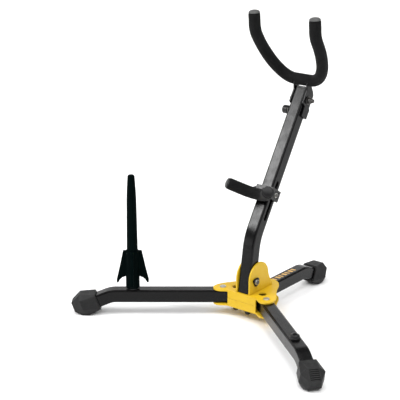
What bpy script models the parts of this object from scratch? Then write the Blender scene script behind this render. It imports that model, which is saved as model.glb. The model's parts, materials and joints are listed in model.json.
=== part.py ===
"""Floor stand for an alto or tenor saxophone, with a clarinet peg on one leg.

Built in metres, +Z up, standing on Z = 0, front towards -Y. Dimensions are written in
millimetres in the hub frame: its origin lies midway between the two leg pivots, at the
height of the leg tubes' centre line.
"""

import math

import bmesh
import bpy

MM = 0.001

# Where the hub frame's origin stands in the world, in millimetres.
HUB_Y = -33.32
HUB_Z = 30.0

# Square steel tube shared by the legs and the upright.
TUBE = 20.0
TUBE_R = 2.5
TUBE_WALL = 1.5
GAP = 0.3

# Legs.
PIVOT_X = 40.4
LEG_SPREAD = math.radians(51.92)
LEG_INBOARD = 30.0
LEG_STRAIGHT = 163.0
REAR_START = 32.0
REAR_STRAIGHT = 148.0
FOOT_DIP = math.radians(22.0)
FOOT_BEND_R = 33.0
FOOT_SLANT = 36.0
SOCKET_AT = 137.0
DETENT_AT = 20.0

# Hub plates.
PLATE_T = 2.5
PLATE_LOW = TUBE / 2 + GAP
PLATE_TOP = PLATE_LOW + PLATE_T
SKIRT_X = 26.0
SKIRT_Y = -7.5
CENTRE_Y = 9.0
RIVET_HOLE_R = 3.2
RIVET_R = 3.0
REAR_RIVETS = (40.0, 60.0)
BRACKET_RIVETS = (-5.5, 5.5)
BRACKET_RIVET_Y = 49.0
LOCK_HOLE_R = 6.2
PLATE_HALF = [
    (26.0, -7.3), (30.0, -9.2), (35.0, -12.8), (41.0, -15.0), (47.5, -13.8), (52.2, -9.0),
    (53.8, -2.0), (52.6, 5.5), (49.8, 12.0), (45.6, 19.0), (40.0, 26.8), (34.4, 34.8),
    (30.0, 42.6), (26.6, 50.2), (22.6, 58.4), (17.6, 64.8), (11.6, 69.0), (5.0, 71.0),
]

# Upright, in the plane X = 0.
UP_BASE = (6.2, 13.2)
UP_LEAN_LOW = math.radians(8.5)
UP_LEAN_TOP = math.radians(32.6)
UP_LOW = 64.7
UP_BEND_R = 80.0
UP_HIGH = 223.8
FOLD_AXIS = (8.9, 31.0)
EAR_T = 2.5

# Positions along the upper stretch of the upright, measured down from its top end.
YOKE_PIVOT_A = -15.0
YOKE_DETENT_A = -34.5
SLOT_A = (-210.5, -147.0)
SLOT_W = 6.6
REST_A = -169.0

# Padded bars.
YOKE_BAR_R = 5.0
YOKE_FOAM_R = 9.3
YOKE_A = 12.6
YOKE_B = 12.6
REST_BAR_R = 4.0
REST_FOAM_R = 9.0
REST_BAR_A = -178.0
REST_BAR_B = 24.0

# Clarinet peg: how far its fins are turned about its axis.
FIN_TURN = math.radians(38.2)


# ---------------------------------------------------------------- scene and materials

def clear_scene():
    """Removes everything in the scene the part starts from."""
    for obj in list(bpy.data.objects):
        bpy.data.objects.remove(obj, do_unlink=True)


def new_collection(name, hidden=False):
    collection = bpy.data.collections.new(name)
    bpy.context.scene.collection.children.link(collection)
    collection.hide_render = hidden
    return collection


clear_scene()
STAND = new_collection("saxophone_stand")
CUTTERS = new_collection("cutters", hidden=True)


def material(name, colour, roughness, metallic=0.0):
    made = bpy.data.materials.new(name)
    made.use_nodes = True
    shader = made.node_tree.nodes["Principled BSDF"]
    shader.inputs["Base Color"].default_value = (*colour, 1.0)
    shader.inputs["Roughness"].default_value = roughness
    shader.inputs["Metallic"].default_value = metallic
    made.diffuse_color = (*colour, 1.0)
    return made


LOOKS = {
    "yellow": ((0.89, 0.58, 0.04), 0.38, 0.0),
    "black_paint": ((0.035, 0.035, 0.036), 0.42, 0.0),
    "rubber": ((0.045, 0.045, 0.047), 0.75, 0.0),
    "foam": ((0.014, 0.014, 0.014), 0.95, 0.0),
    "cap_grey": ((0.32, 0.32, 0.32), 0.45, 0.0),
    "black_plastic": ((0.012, 0.012, 0.013), 0.35, 0.0),
    "peg_plastic": ((0.006, 0.011, 0.010), 0.5, 0.0),
    "steel": ((0.62, 0.62, 0.60), 0.28, 1.0),
    "dark_steel": ((0.10, 0.10, 0.10), 0.35, 1.0),
}


# ---------------------------------------------------------------- frames of reference

def hub(x, y, z):
    return (x, y, z)


def leg_point(side):
    """Maps (along the leg, across it, up) to the hub frame, for the left or right leg."""
    along = (side * math.sin(LEG_SPREAD), -math.cos(LEG_SPREAD))
    across = (math.cos(LEG_SPREAD), side * math.sin(LEG_SPREAD))

    def mapped(length, offset, height):
        return (
            side * PIVOT_X + along[0] * length + across[0] * offset,
            along[1] * length + across[1] * offset,
            height,
        )

    return mapped


def rear_point(length, offset, height):
    return (offset, length, height)


def upright_path():
    """Centre line of the upright as (y, z, lean) from the plate to the top end."""
    y, z = UP_BASE
    path = [(y, z, UP_LEAN_LOW)]
    y += UP_LOW * math.sin(UP_LEAN_LOW)
    z += UP_LOW * math.cos(UP_LEAN_LOW)
    path.append((y, z, UP_LEAN_LOW))
    steps = 8
    turn = (UP_LEAN_TOP - UP_LEAN_LOW) / steps
    chord = 2 * UP_BEND_R * math.sin(turn / 2)
    for index in range(steps):
        lean = UP_LEAN_LOW + turn * (index + 0.5)
        y += chord * math.sin(lean)
        z += chord * math.cos(lean)
        path.append((y, z, lean + turn / 2))
    y += UP_HIGH * math.sin(UP_LEAN_TOP)
    z += UP_HIGH * math.cos(UP_LEAN_TOP)
    path.append((y, z, UP_LEAN_TOP))
    return path


UP_TOP = upright_path()[-1]


def upright(x, forward, up):
    """Maps (x, forward of the tube's centre line, up from its top end) to the hub frame."""
    sin, cos = math.sin(UP_LEAN_TOP), math.cos(UP_LEAN_TOP)
    return (x, UP_TOP[0] + up * sin - forward * cos, UP_TOP[1] + up * cos + forward * sin)


def in_yz(point):
    """Turns a (height, radius, angle) point of a turned shape so that its axis lies along X."""
    centre_y, centre_z = point

    def mapped(x, y, z):
        return (z, centre_y + x, centre_z + y)

    return mapped


def standing(centre_x, centre_y, base=0.0):
    """Places a turned shape with its axis upright."""

    def mapped(x, y, z):
        return (centre_x + x, centre_y + y, base + z)

    return mapped


YOKE_AXIS = upright(0, 0, YOKE_PIVOT_A)[1:]
YOKE_DETENT = upright(0, 0, YOKE_DETENT_A)[1:]
REST_AXIS = upright(0, 0, REST_A)[1:]
LEFT, RIGHT = leg_point(-1), leg_point(1)
PEG_AT = LEFT(SOCKET_AT, 0, 0)
PLUG_AT = RIGHT(SOCKET_AT, 0, 0)
DETENT_L = LEFT(-DETENT_AT, 0, 0)
DETENT_R = RIGHT(-DETENT_AT, 0, 0)

FRAMES = {
    "hub_frame": (0, 0, 0),
    "leg_left_axis": (-PIVOT_X, 0, 0),
    "leg_right_axis": (PIVOT_X, 0, 0),
    "detent_left_axis": DETENT_L,
    "detent_right_axis": DETENT_R,
    "upright_axis": (0, *FOLD_AXIS),
    "yoke_axis": (0, *YOKE_AXIS),
    "yoke_detent_axis": (0, *YOKE_DETENT),
    "rest_axis": (0, *REST_AXIS),
    "peg_axis": PEG_AT,
    "plug_axis": PLUG_AT,
}


def make_frames():
    for name, (x, y, z) in FRAMES.items():
        empty = bpy.data.objects.new(name, None)
        empty.empty_display_size = 0.01
        empty.location = (x * MM, (y + HUB_Y) * MM, (z + HUB_Z) * MM)
        STAND.objects.link(empty)


make_frames()


# ---------------------------------------------------------------- shape builders

def rounded_square(half, radius, steps=2):
    """Outline of a square with rounded corners, anticlockwise."""
    outline = []
    for corner in range(4):
        start = math.pi / 2 * corner
        centre_x = (half - radius) * (1 if corner in (0, 3) else -1)
        centre_y = (half - radius) * (1 if corner in (0, 1) else -1)
        for step in range(steps + 1):
            angle = start + math.pi / 2 * step / steps
            x = centre_x + radius * math.cos(angle)
            outline.append((x, centre_y + radius * math.sin(angle)))
    return outline


def circle(radius, count):
    turns = [2 * math.pi * index / count for index in range(count)]
    return [(radius * math.cos(turn), radius * math.sin(turn)) for turn in turns]


def prism(outline, low, high, place):
    """Extrudes a flat outline between two heights."""
    count = len(outline)
    points = [place(x, y, z) for z in (low, high) for x, y in outline]
    faces = [list(range(count)), list(range(count, 2 * count))]
    for index in range(count):
        after = (index + 1) % count
        faces.append([index, after, count + after, count + index])
    return points, faces


def box(low, high, place=hub):
    (x0, y0, z0), (x1, y1, z1) = low, high
    return prism([(x0, y0), (x1, y0), (x1, y1), (x0, y1)], z0, z1, place)


def turned(profile, segments, place):
    """Solid of revolution. The profile is (radius, height) from one end of the axis to the other."""
    points, rings = [], []
    for radius, height in profile:
        if radius == 0:
            rings.append([len(points)])
            points.append(place(0, 0, height))
            continue
        rings.append(list(range(len(points), len(points) + segments)))
        points += [place(x, y, height) for x, y in circle(radius, segments)]
    return points, ring_faces(rings)


def turned_ring(profile, segments, place):
    """Solid ring of revolution around a closed (radius, height) profile."""
    points, rings = [], []
    for radius, height in profile:
        rings.append(list(range(len(points), len(points) + segments)))
        points += [place(x, y, height) for x, y in circle(radius, segments)]
    return points, ring_faces(rings + rings[:1])


def ring_faces(rings):
    faces = []
    for first, second in zip(rings, rings[1:]):
        count = max(len(first), len(second))
        for index in range(count):
            after = (index + 1) % count
            if len(first) == 1:
                faces.append([first[0], second[index], second[after]])
            elif len(second) == 1:
                faces.append([first[index], first[after], second[0]])
            else:
                faces.append([first[index], first[after], second[after], second[index]])
    return faces


def swept(stations, outer, inner=None):
    """Sweeps an outline through stations, each a function that places an (u, v) point."""
    outlines = [outer] if inner is None else [outer, inner]
    points, loops = [], []
    for outline in outlines:
        rings = []
        for station in stations:
            rings.append(list(range(len(points), len(points) + len(outline))))
            points += [station(u, v) for u, v in outline]
        loops.append(rings)
    if inner is None:
        faces = ring_faces(loops[0]) + [loops[0][0], loops[0][-1]]
    else:
        across = [loops[0][0], loops[1][0]], [loops[1][-1], loops[0][-1]]
        faces = ring_faces(loops[0]) + ring_faces(loops[1])
        faces += ring_faces(across[0]) + ring_faces(across[1])
    return points, faces


def hull_of(points):
    """Convex solid through these points."""
    return points, None


def build_mesh(name, shape, origin):
    points, faces = shape
    work = bmesh.new()
    placed = [
        work.verts.new([(value - start) * MM for value, start in zip(point, origin)])
        for point in points
    ]
    if faces is None:
        result = bmesh.ops.convex_hull(work, input=placed)
        loose = {v for v in result["geom_interior"] if isinstance(v, bmesh.types.BMVert)}
        bmesh.ops.delete(work, geom=list(loose), context="VERTS")
        bmesh.ops.dissolve_limit(
            work, angle_limit=math.radians(1), verts=work.verts, edges=work.edges
        )
    else:
        for face in faces:
            work.faces.new([placed[index] for index in face])
    bmesh.ops.recalc_face_normals(work, faces=work.faces)
    mesh = bpy.data.meshes.new(name)
    work.to_mesh(mesh)
    work.free()
    return mesh


def add_object(name, shape, frame, collection):
    origin = FRAMES[frame]
    obj = bpy.data.objects.new(name, build_mesh(name, shape, origin))
    obj.parent = bpy.data.objects[frame]
    collection.objects.link(obj)
    return obj


def cutter(name, shape, frame="hub_frame"):
    obj = add_object("cut_" + name, shape, frame, CUTTERS)
    obj.hide_render = True
    obj.display_type = "WIRE"
    return obj


def combine(obj, other, operation):
    modifier = obj.modifiers.new(operation.lower(), "BOOLEAN")
    modifier.operation = operation
    modifier.solver = "EXACT"
    modifier.object = other


def part(name, look, shape, frame="hub_frame", join=(), cut=(), bevel=0.0, steps=1):
    """One named piece: a shape, joined with some helpers, cut by others and lightly bevelled."""
    obj = add_object(name, shape, frame, STAND)
    obj.data.materials.append(material(name, *LOOKS[look]))
    obj.data.shade_smooth()
    obj.data.set_sharp_from_angle(angle=math.radians(35))
    for index, other in enumerate(join):
        combine(obj, cutter(f"{name}_join{index}", other, frame), "UNION")
    if bevel:
        modifier = obj.modifiers.new("bevel", "BEVEL")
        modifier.width = bevel * MM
        modifier.segments = steps
        modifier.limit_method = "ANGLE"
        modifier.angle_limit = math.radians(40)
    for index, other in enumerate(cut):
        combine(obj, cutter(f"{name}_cut{index}", other, frame), "DIFFERENCE")
    return obj


def hole(radius, low, high, place, count=14):
    return prism(circle(radius, count), low, high, place)


# ---------------------------------------------------------------- hub

def plate_outline():
    right = PLATE_HALF
    left = [(-x, y) for x, y in reversed(right)]
    return right + left


def skirt_section(sign):
    """Section of a plate's turned-down front, as (y, z), with a rounded bend."""
    bend = 2.4
    section = [(SKIRT_Y, 0.15), (SKIRT_Y + PLATE_T, 0.15), (SKIRT_Y + PLATE_T, PLATE_LOW)]
    section += [(4.0, PLATE_LOW), (4.0, PLATE_TOP)]
    for step in range(5):
        angle = math.pi / 2 * (1 + step / 4)
        y = SKIRT_Y + bend + bend * math.cos(angle)
        section.append((y, PLATE_TOP - bend + bend * math.sin(angle)))
    return [(y, z * sign) for y, z in section]


def hub_plate(name, sign, holes):
    low, high = sorted((sign * PLATE_LOW, sign * PLATE_TOP))
    skirt = prism(skirt_section(sign), -SKIRT_X, SKIRT_X, lambda y, z, x: (x, y, z))
    cuts = [hole(r, low - 2, high + 2, standing(x, y)) for x, y, r in holes]
    shape = prism(plate_outline(), low, high, hub)
    return part(name, "yellow", shape, join=[skirt], cut=cuts, bevel=0.5)


def build_hub():
    pivots = [(-PIVOT_X, 0, RIVET_HOLE_R), (PIVOT_X, 0, RIVET_HOLE_R)]
    rear = [(0, y, RIVET_HOLE_R) for y in REAR_RIVETS]
    centre = [(0, CENTRE_Y, RIVET_HOLE_R)]
    locks = [(DETENT_L[0], DETENT_L[1], LOCK_HOLE_R), (DETENT_R[0], DETENT_R[1], LOCK_HOLE_R)]
    small = [(x, y, 4.3) for x, y, _ in locks]
    bracket = [(x, BRACKET_RIVET_Y, 2.2) for x in BRACKET_RIVETS]
    hub_plate("hub_top_plate", 1, pivots + rear + centre + locks + bracket)
    hub_plate("hub_bottom_plate", -1, pivots + rear + centre + small)

    spacer = [(3.3, -PLATE_LOW + GAP), (5.5, -PLATE_LOW + GAP), (5.5, PLATE_LOW - GAP)]
    spacer.append((3.3, PLATE_LOW - GAP))
    part("hub_spacer", "steel", turned_ring(spacer, 16, standing(0, CENTRE_Y)))
    bolt = [(0, -22.5), (3.0, -22.5), (3.0, PLATE_TOP - 0.05), (0, PLATE_TOP - 0.05)]
    part("hub_centre_bolt", "dark_steel", turned(bolt, 16, standing(0, CENTRE_Y)))
    cap = [(0, -22.8), (3.1, -22.8), (3.1, -PLATE_TOP - 0.2), (5.0, -PLATE_TOP - 0.2)]
    cap += [(5.0, -21.0), (4.4, -23.4), (2.6, -25.2), (0, -25.8)]
    part("hub_centre_nut", "black_plastic", turned(cap, 18, standing(0, CENTRE_Y)))

    for side, (x, y, _) in (("left", DETENT_L), ("right", DETENT_R)):
        bush = [(3.2, -PLATE_TOP - 5.0), (5.4, -PLATE_TOP - 5.0), (5.4, -PLATE_TOP - 0.2)]
        bush += [(4.1, -PLATE_TOP - 0.2), (4.1, -PLATE_LOW - 0.1), (3.2, -PLATE_LOW - 0.1)]
        shape = turned_ring(bush, 18, standing(x, y))
        part(f"detent_bush_{side}", "dark_steel", shape)


def ear_outline():
    """Side view of one ear of the upright's bracket, as (y, z)."""
    base = PLATE_TOP + GAP / 2
    outline = [(-4.6, base), (54.0, base), (52.0, 19.0), (47.5, 27.0)]
    centre_y, centre_z, radius = 19.8, 34.2, 24.4
    for step in range(13):
        angle = math.pi * step / 12
        y = centre_y + radius * math.cos(angle)
        outline.append((y, centre_z + radius * math.sin(angle)))
    return outline


def build_bracket():
    inner = TUBE / 2 + 0.4
    outline = ear_outline()
    across = lambda y, z, x: (x, y, z)
    left_ear = prism(outline, -inner - EAR_T, -inner, across)
    base = PLATE_TOP + GAP / 2
    web = box((-inner - 1, 40.0, base), (inner + 1, 54.0, base + EAR_T))
    bolt_hole = hole(3.4, -20, 20, in_yz(FOLD_AXIS))
    rivets = [hole(2.2, 10, 20, standing(x, BRACKET_RIVET_Y)) for x in BRACKET_RIVETS]
    part(
        "upright_bracket", "yellow", prism(outline, inner, inner + EAR_T, across),
        join=[left_ear, web], cut=[bolt_hole, *rivets], bevel=0.4,
    )
    for side, x in zip(("left", "right"), BRACKET_RIVETS):
        top = base + EAR_T
        rivet = [(0, PLATE_LOW + 0.1), (2.0, PLATE_LOW + 0.1), (2.0, top + 0.2)]
        rivet += [(3.4, top + 0.2), (3.0, top + 1.2), (1.6, top + 1.7), (0, top + 1.8)]
        shape = turned(rivet, 14, standing(x, BRACKET_RIVET_Y))
        part(f"bracket_rivet_{side}", "steel", shape)

    outside = inner + EAR_T
    axis = in_yz(FOLD_AXIS)
    bolt = [(0, -outside - 5.6), (2.6, -outside - 5.3), (5.0, -outside - 3.6)]
    bolt += [(5.6, -outside - 1.6), (5.6, -outside - 0.2), (3.0, -outside - 0.2)]
    bolt += [(3.0, outside + 6.0), (0, outside + 6.0)]
    part("upright_pivot_bolt", "dark_steel", turned(bolt, 18, axis))
    seat_outline = rounded_triangle(7.6, 3.2)
    seat_place = lambda y, z, x: (x, FOLD_AXIS[0] + 0.6 + y, FOLD_AXIS[1] + z)
    seat = prism(seat_outline, outside + 0.2, outside + 3.0, seat_place)
    recess = hole(5.3, outside + 1.0, outside + 4, axis, 24)
    bore = hole(3.3, outside - 1, outside + 4, axis)
    part("upright_nut_seat", "black_plastic", seat, cut=[recess, bore], bevel=0.5)
    hexagon = prism(circle(4.4, 6), outside + 1.2, outside + 4.8, axis)
    nut_bore = hole(3.1, outside, outside + 6, axis)
    part("upright_pivot_nut", "steel", hexagon, cut=[nut_bore], bevel=0.4)


def rounded_triangle(reach, radius):
    outline = []
    for corner in range(3):
        facing = math.radians(-90 + 120 * corner)
        centre = (reach - radius) * math.cos(facing), (reach - radius) * math.sin(facing)
        for step in range(5):
            angle = facing + math.radians(-60 + 30 * step)
            x = centre[0] + radius * math.cos(angle)
            outline.append((x, centre[1] + radius * math.sin(angle)))
    return outline


# ---------------------------------------------------------------- legs

def leg_stations(place, start, straight):
    """Stations of a leg tube: level, bent down, then slanting into its foot."""
    lines = [(start, 0.0, 0.0), (straight, 0.0, 0.0)]
    steps = 7
    length, height = straight, 0.0
    turn = FOOT_DIP / steps
    chord = 2 * FOOT_BEND_R * math.sin(turn / 2)
    for index in range(steps):
        dip = turn * (index + 0.5)
        length += chord * math.cos(dip)
        height -= chord * math.sin(dip)
        lines.append((length, height, dip + turn / 2))
    length += FOOT_SLANT * math.cos(FOOT_DIP)
    height -= FOOT_SLANT * math.sin(FOOT_DIP)
    lines.append((length, height, FOOT_DIP))
    return [leg_station(place, *line) for line in lines]


def leg_station(place, length, height, dip):
    def mapped(across, up):
        return place(length + up * math.sin(dip), across, height + up * math.cos(dip))

    return mapped


def slant_station(place, straight, along):
    """Station on the slanting end of a leg, measured from the end of its bend."""
    length = straight + FOOT_BEND_R * math.sin(FOOT_DIP) + along * math.cos(FOOT_DIP)
    height = -FOOT_BEND_R * (1 - math.cos(FOOT_DIP)) - along * math.sin(FOOT_DIP)
    return leg_station(place, length, height, FOOT_DIP)


def square_tube(stations):
    outer = rounded_square(TUBE / 2, TUBE_R)
    inner = rounded_square(TUBE / 2 - TUBE_WALL, TUBE_R - TUBE_WALL)
    return swept(stations, outer, inner)


def foot_points(place, reach):
    """Corners of a faceted rubber foot. reach is where the leg's bend begins."""
    shift = reach - LEG_STRAIGHT
    collar = TUBE / 2 + 2.9
    corners = []
    for across in (-1, 1):
        for up in (-1, 1):
            for trim in (0, 1):
                side = collar - 1.6 * trim
                rise = collar - 1.6 * (1 - trim)
                length = 190.0 + up * rise * math.sin(FOOT_DIP)
                height = -8.3 + up * rise * math.cos(FOOT_DIP)
                corners.append((length, across * side, height))
        corners += [
            (218.5, across * 8.6, 2.6),
            (217.4, across * 17.6, -4.6),
            (212.0, across * 18.4, -19.0),
            (231.0, across * 8.6, -11.0),
            (225.5, across * 9.6, -25.5),
            (214.0, across * 12.0, -30.0),
            (203.0, across * 12.6, -30.0),
        ]
    return [place(length + shift, across, height) for length, across, height in corners]


def foot_grooves(place, shift):
    """Shallow slots across the sloping end of a foot."""
    grooves = []
    for index in range(6):
        share = (index + 0.8) / 6.6
        length = 218.5 + 12.5 * share + shift
        height = 2.6 - 13.6 * share
        low, high = (length - 1.5, -7.4, height - 0.6), (length + 4.0, 7.4, height + 0.6)
        grooves.append(box(low, high, place))
    return grooves


def build_leg(name, place, start, straight, frame, holes):
    stations = leg_stations(place, start, straight)
    part(f"{name}_tube", "black_paint", square_tube(stations), frame, cut=holes)
    ends = [slant_station(place, straight, along) for along in (-6.0, FOOT_SLANT + 1.0)]
    cavity = swept(ends, rounded_square(TUBE / 2 + GAP, TUBE_R + 0.1))
    cuts = [cavity] + foot_grooves(place, straight - LEG_STRAIGHT)
    shape = hull_of(foot_points(place, straight))
    part(f"{name}_foot", "rubber", shape, frame, cut=cuts, bevel=0.5)


def wall_hole(place, at, radius, low=-15.0, high=15.0):
    return hole(radius, low, high, lambda x, y, z: place(at + x, y, z))


def build_pivot_rivet(name, x, frame):
    top = PLATE_TOP + 0.2
    rivet = [(0, -top - 1.8), (2.4, -top - 1.6), (4.4, -top - 0.9), (5.0, -top), (RIVET_R, -top)]
    rivet += [(RIVET_R, top), (5.0, top), (4.5, top + 1.0), (2.8, top + 1.6), (1.6, top + 1.4)]
    rivet += [(0, top + 1.1)]
    part(name, "steel", turned(rivet, 20, standing(x, 0)), frame)


def build_socket(name, place, at, frame):
    """Flanged threaded insert let into the top of a leg tube."""
    top = TUBE / 2
    ring = [(4.1, top - 7.0), (6.0, top - 7.0), (6.0, top + 0.15), (8.2, top + 0.15)]
    ring += [(8.2, top + 1.4), (7.6, top + 2.0), (4.1, top + 2.0)]
    x, y, _ = place(at, 0, 0)
    part(name, "black_plastic", turned_ring(ring, 24, standing(x, y)), frame)


def build_legs():
    for name, place in (("left", LEFT), ("right", RIGHT)):
        frame = f"leg_{name}_axis"
        holes = [
            wall_hole(place, 0.0, RIVET_HOLE_R),
            wall_hole(place, -DETENT_AT, 3.6),
            wall_hole(place, SOCKET_AT, 6.2, low=0.0),
        ]
        build_leg(f"leg_{name}", place, -LEG_INBOARD, LEG_STRAIGHT, frame, holes)
        build_socket(f"peg_socket_{name}", place, SOCKET_AT, frame)
    build_pivot_rivet("leg_left_pivot_rivet", -PIVOT_X, "leg_left_axis")
    build_pivot_rivet("leg_right_pivot_rivet", PIVOT_X, "leg_right_axis")

    holes = [wall_hole(rear_point, y, RIVET_HOLE_R) for y in REAR_RIVETS]
    build_leg("leg_rear", rear_point, REAR_START, REAR_STRAIGHT, "hub_frame", holes)
    for name, y in zip(("front", "back"), REAR_RIVETS):
        low = -PLATE_TOP - 0.2
        rivet = [(0, low - 1.6), (3.2, low - 1.2), (4.6, low), (RIVET_R, low)]
        rivet += [(RIVET_R, PLATE_TOP), (0, PLATE_TOP)]
        part(f"rear_leg_rivet_{name}", "steel", turned(rivet, 16, standing(0, y)))


def build_detents():
    """Spring plungers under the hub: a steel nose under the leg tube and a knob to pull."""
    for side, (x, y, _) in (("left", DETENT_L), ("right", DETENT_R)):
        frame = f"detent_{side}_axis"
        nose = -TUBE / 2 - 0.15
        pin = [(0, nose), (2.0, nose), (3.0, nose - 0.8), (3.0, -PLATE_TOP - 9.0)]
        pin += [(0, -PLATE_TOP - 9.0)]
        part(f"detent_pin_{side}", "steel", turned(pin, 16, standing(x, y)), frame)
        top = -PLATE_TOP - 5.2
        knob = [(0, -PLATE_TOP - 9.2), (3.2, -PLATE_TOP - 9.2), (3.2, top), (4.6, top)]
        knob += [(5.0, top - 1.0), (5.0, top - 4.2), (4.2, top - 6.0), (2.4, top - 7.2)]
        knob += [(0, top - 7.5)]
        part(f"detent_knob_{side}", "black_plastic", turned(knob, 20, standing(x, y)), frame)


# ---------------------------------------------------------------- upright

def upright_station(y, z, lean):
    def mapped(across, forward):
        return (across, y - forward * math.cos(lean), z + forward * math.sin(lean))

    return mapped


def build_upright():
    path = upright_path()
    first = path[0]
    back = 3.0
    low = (first[0] - back * math.sin(first[2]), first[1] - back * math.cos(first[2]), first[2])
    stations = [upright_station(*point) for point in [low, *path[1:]]]
    ground = box((-15, -15, 0), (15, 40, UP_BASE[1]))
    heel = prism(heel_trim(), -15, 15, lambda y, z, x: (x, y, z))
    slot_half = SLOT_W / 2
    slot = []
    for end, start in ((SLOT_A[0] + slot_half, 180), (SLOT_A[1] - slot_half, 0)):
        for step in range(7):
            angle = math.radians(start + 90 - 30 * step)
            slot.append((slot_half * math.sin(angle), end + slot_half * math.cos(angle)))
    through = prism(slot, -15, 15, lambda b, a, x: upright(x, b, a))
    holes = [
        hole(4.3, -15, 15, in_yz(FOLD_AXIS)),
        hole(3.4, -15, 15, in_yz(YOKE_AXIS)),
        hole(3.0, -15, 0, in_yz(YOKE_DETENT)),
    ]
    part(
        "upright_tube", "black_paint", square_tube(stations), "upright_axis",
        cut=[ground, heel, through, *holes],
    )
    sleeve = [(3.2, -9.6), (4.1, -9.6), (4.1, 9.6), (3.2, 9.6)]
    shape = turned_ring(sleeve, 16, in_yz(FOLD_AXIS))
    part("upright_pivot_sleeve", "steel", shape, "upright_axis")
    plug = prism(rounded_square(TUBE / 2 - TUBE_WALL - GAP, 1.0), -8.0, 1.0, upright)
    lid = prism(rounded_square(TUBE / 2, TUBE_R), 0.25, 3.0, upright)
    part("upright_end_cap", "black_plastic", lid, "upright_axis", join=[plug])


def heel_trim():
    """Material rounded off the tube's rear lower edge, so that it clears the plate."""
    y = UP_BASE[0] + TUBE / 2 / math.cos(UP_LEAN_LOW)
    z = UP_BASE[1]
    radius = 7.0
    outline = [(y + 4, z - 4), (y - radius, z - 4)]
    for step in range(5):
        angle = math.radians(-90 + 90 * step / 4)
        centre = (y - radius - 0.4, z + radius)
        outline.append((centre[0] + radius * math.cos(angle), centre[1] + radius * math.sin(angle)))
    outline.append((y + 4, z + radius))
    return outline


# ---------------------------------------------------------------- yoke

def yoke_path():
    """Centre line of the right half of the yoke, as hub-frame points from the middle out."""
    half, flat, rise, end_rise = 53.6, 14.6, 85.0, 33.4
    tilt, end_tilt = math.radians(34.0), math.radians(5.0)
    _, y0, z0 = upright(0, YOKE_B, YOKE_A)
    points = [(0.0, 0.0), (flat, 0.0)]
    steps = 8
    for step in range(1, steps + 1):
        turn = math.pi / 2 * step / steps
        points.append((flat + (half - flat) * math.sin(turn), rise * (1 - math.cos(turn))))
    path = [(x, y0 - h * math.sin(tilt), z0 + h * math.cos(tilt)) for x, h in points]
    bend_steps = 4
    lean, y, z = tilt, path[-1][1], path[-1][2]
    for _ in range(bend_steps):
        lean -= (tilt - end_tilt) / bend_steps
        y -= 5.0 * math.sin(lean)
        z += 5.0 * math.cos(lean)
        path.append((half, y, z))
    y -= (end_rise - 20.0) * math.sin(end_tilt)
    z += (end_rise - 20.0) * math.cos(end_tilt)
    path.append((half, y, z))
    return path


def both_sides(half_path):
    return [(-x, y, z) for x, y, z in reversed(half_path[1:])] + half_path


def unit(vector):
    length = math.sqrt(sum(value * value for value in vector))
    return [value / length for value in vector]


def cross(a, b):
    return [a[1] * b[2] - a[2] * b[1], a[2] * b[0] - a[0] * b[2], a[0] * b[1] - a[1] * b[0]]


def path_stations(path, normal):
    """Stations square to a path, kept from twisting by a fixed reference normal."""
    stations = []
    for index, point in enumerate(path):
        before = path[max(index - 1, 0)]
        after = path[min(index + 1, len(path) - 1)]
        forward = unit([b - a for a, b in zip(before, after)])
        side = unit(cross(normal, forward))
        lift = cross(forward, side)
        stations.append(path_station(point, side, lift))
    return stations


def path_station(point, side, lift):
    def mapped(u, v):
        return [p + u * s + v * h for p, s, h in zip(point, side, lift)]

    return mapped


def trimmed(path, length):
    """Shortens the last stretch of a path at both ends."""
    ends = []
    for end, inside in ((path[0], path[1]), (path[-1], path[-2])):
        away = unit([a - b for a, b in zip(end, inside)])
        ends.append(tuple(value - length * step for value, step in zip(end, away)))
    return [ends[0], *path[1:-1], ends[1]]


def cap_at(path, name, look, frame, radius, stem, length, dome):
    """Domed end cap with a stem that plugs into the end of a padded bar."""
    end, inside = path[-1], path[-2]
    away = unit([a - b for a, b in zip(end, inside)])
    side = unit(cross(away, (0.3, 0.9, 0.1)))
    lift = cross(away, side)

    def place(x, y, z):
        return [p + x * s + y * h + z * w for p, s, h, w in zip(end, side, lift, away)]

    profile = [(0, -length), (stem, -length), (stem, 0.3), (radius, 0.3), (radius, 0.9)]
    for step in range(1, 4):
        turn = math.pi / 2 * step / 4
        profile.append((radius * math.cos(turn), 0.9 + dome * math.sin(turn)))
    profile.append((0, 0.9 + dome))
    part(name, look, turned(profile, 20, place), frame)


def flange_outline(grow=0.0):
    """Side view of the yoke bracket's cheek, as (forward, up) on the upright."""
    head = 7.4 + grow
    outline = [(-12.7, -41.5), (2.0, -41.5), (2.6, -26.0), (10.2, -23.5), (10.2, -3.0)]
    for step in range(9):
        angle = math.radians(-40 + 210 * step / 8)
        outline.append((YOKE_B + head * math.cos(angle), YOKE_A + head * math.sin(angle)))
    outline += [(2.0, 6.0), (-6.0, 1.5), (-10.2, -3.5), (-10.2, -24.0), (-12.7, -26.5)]
    return outline


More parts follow.
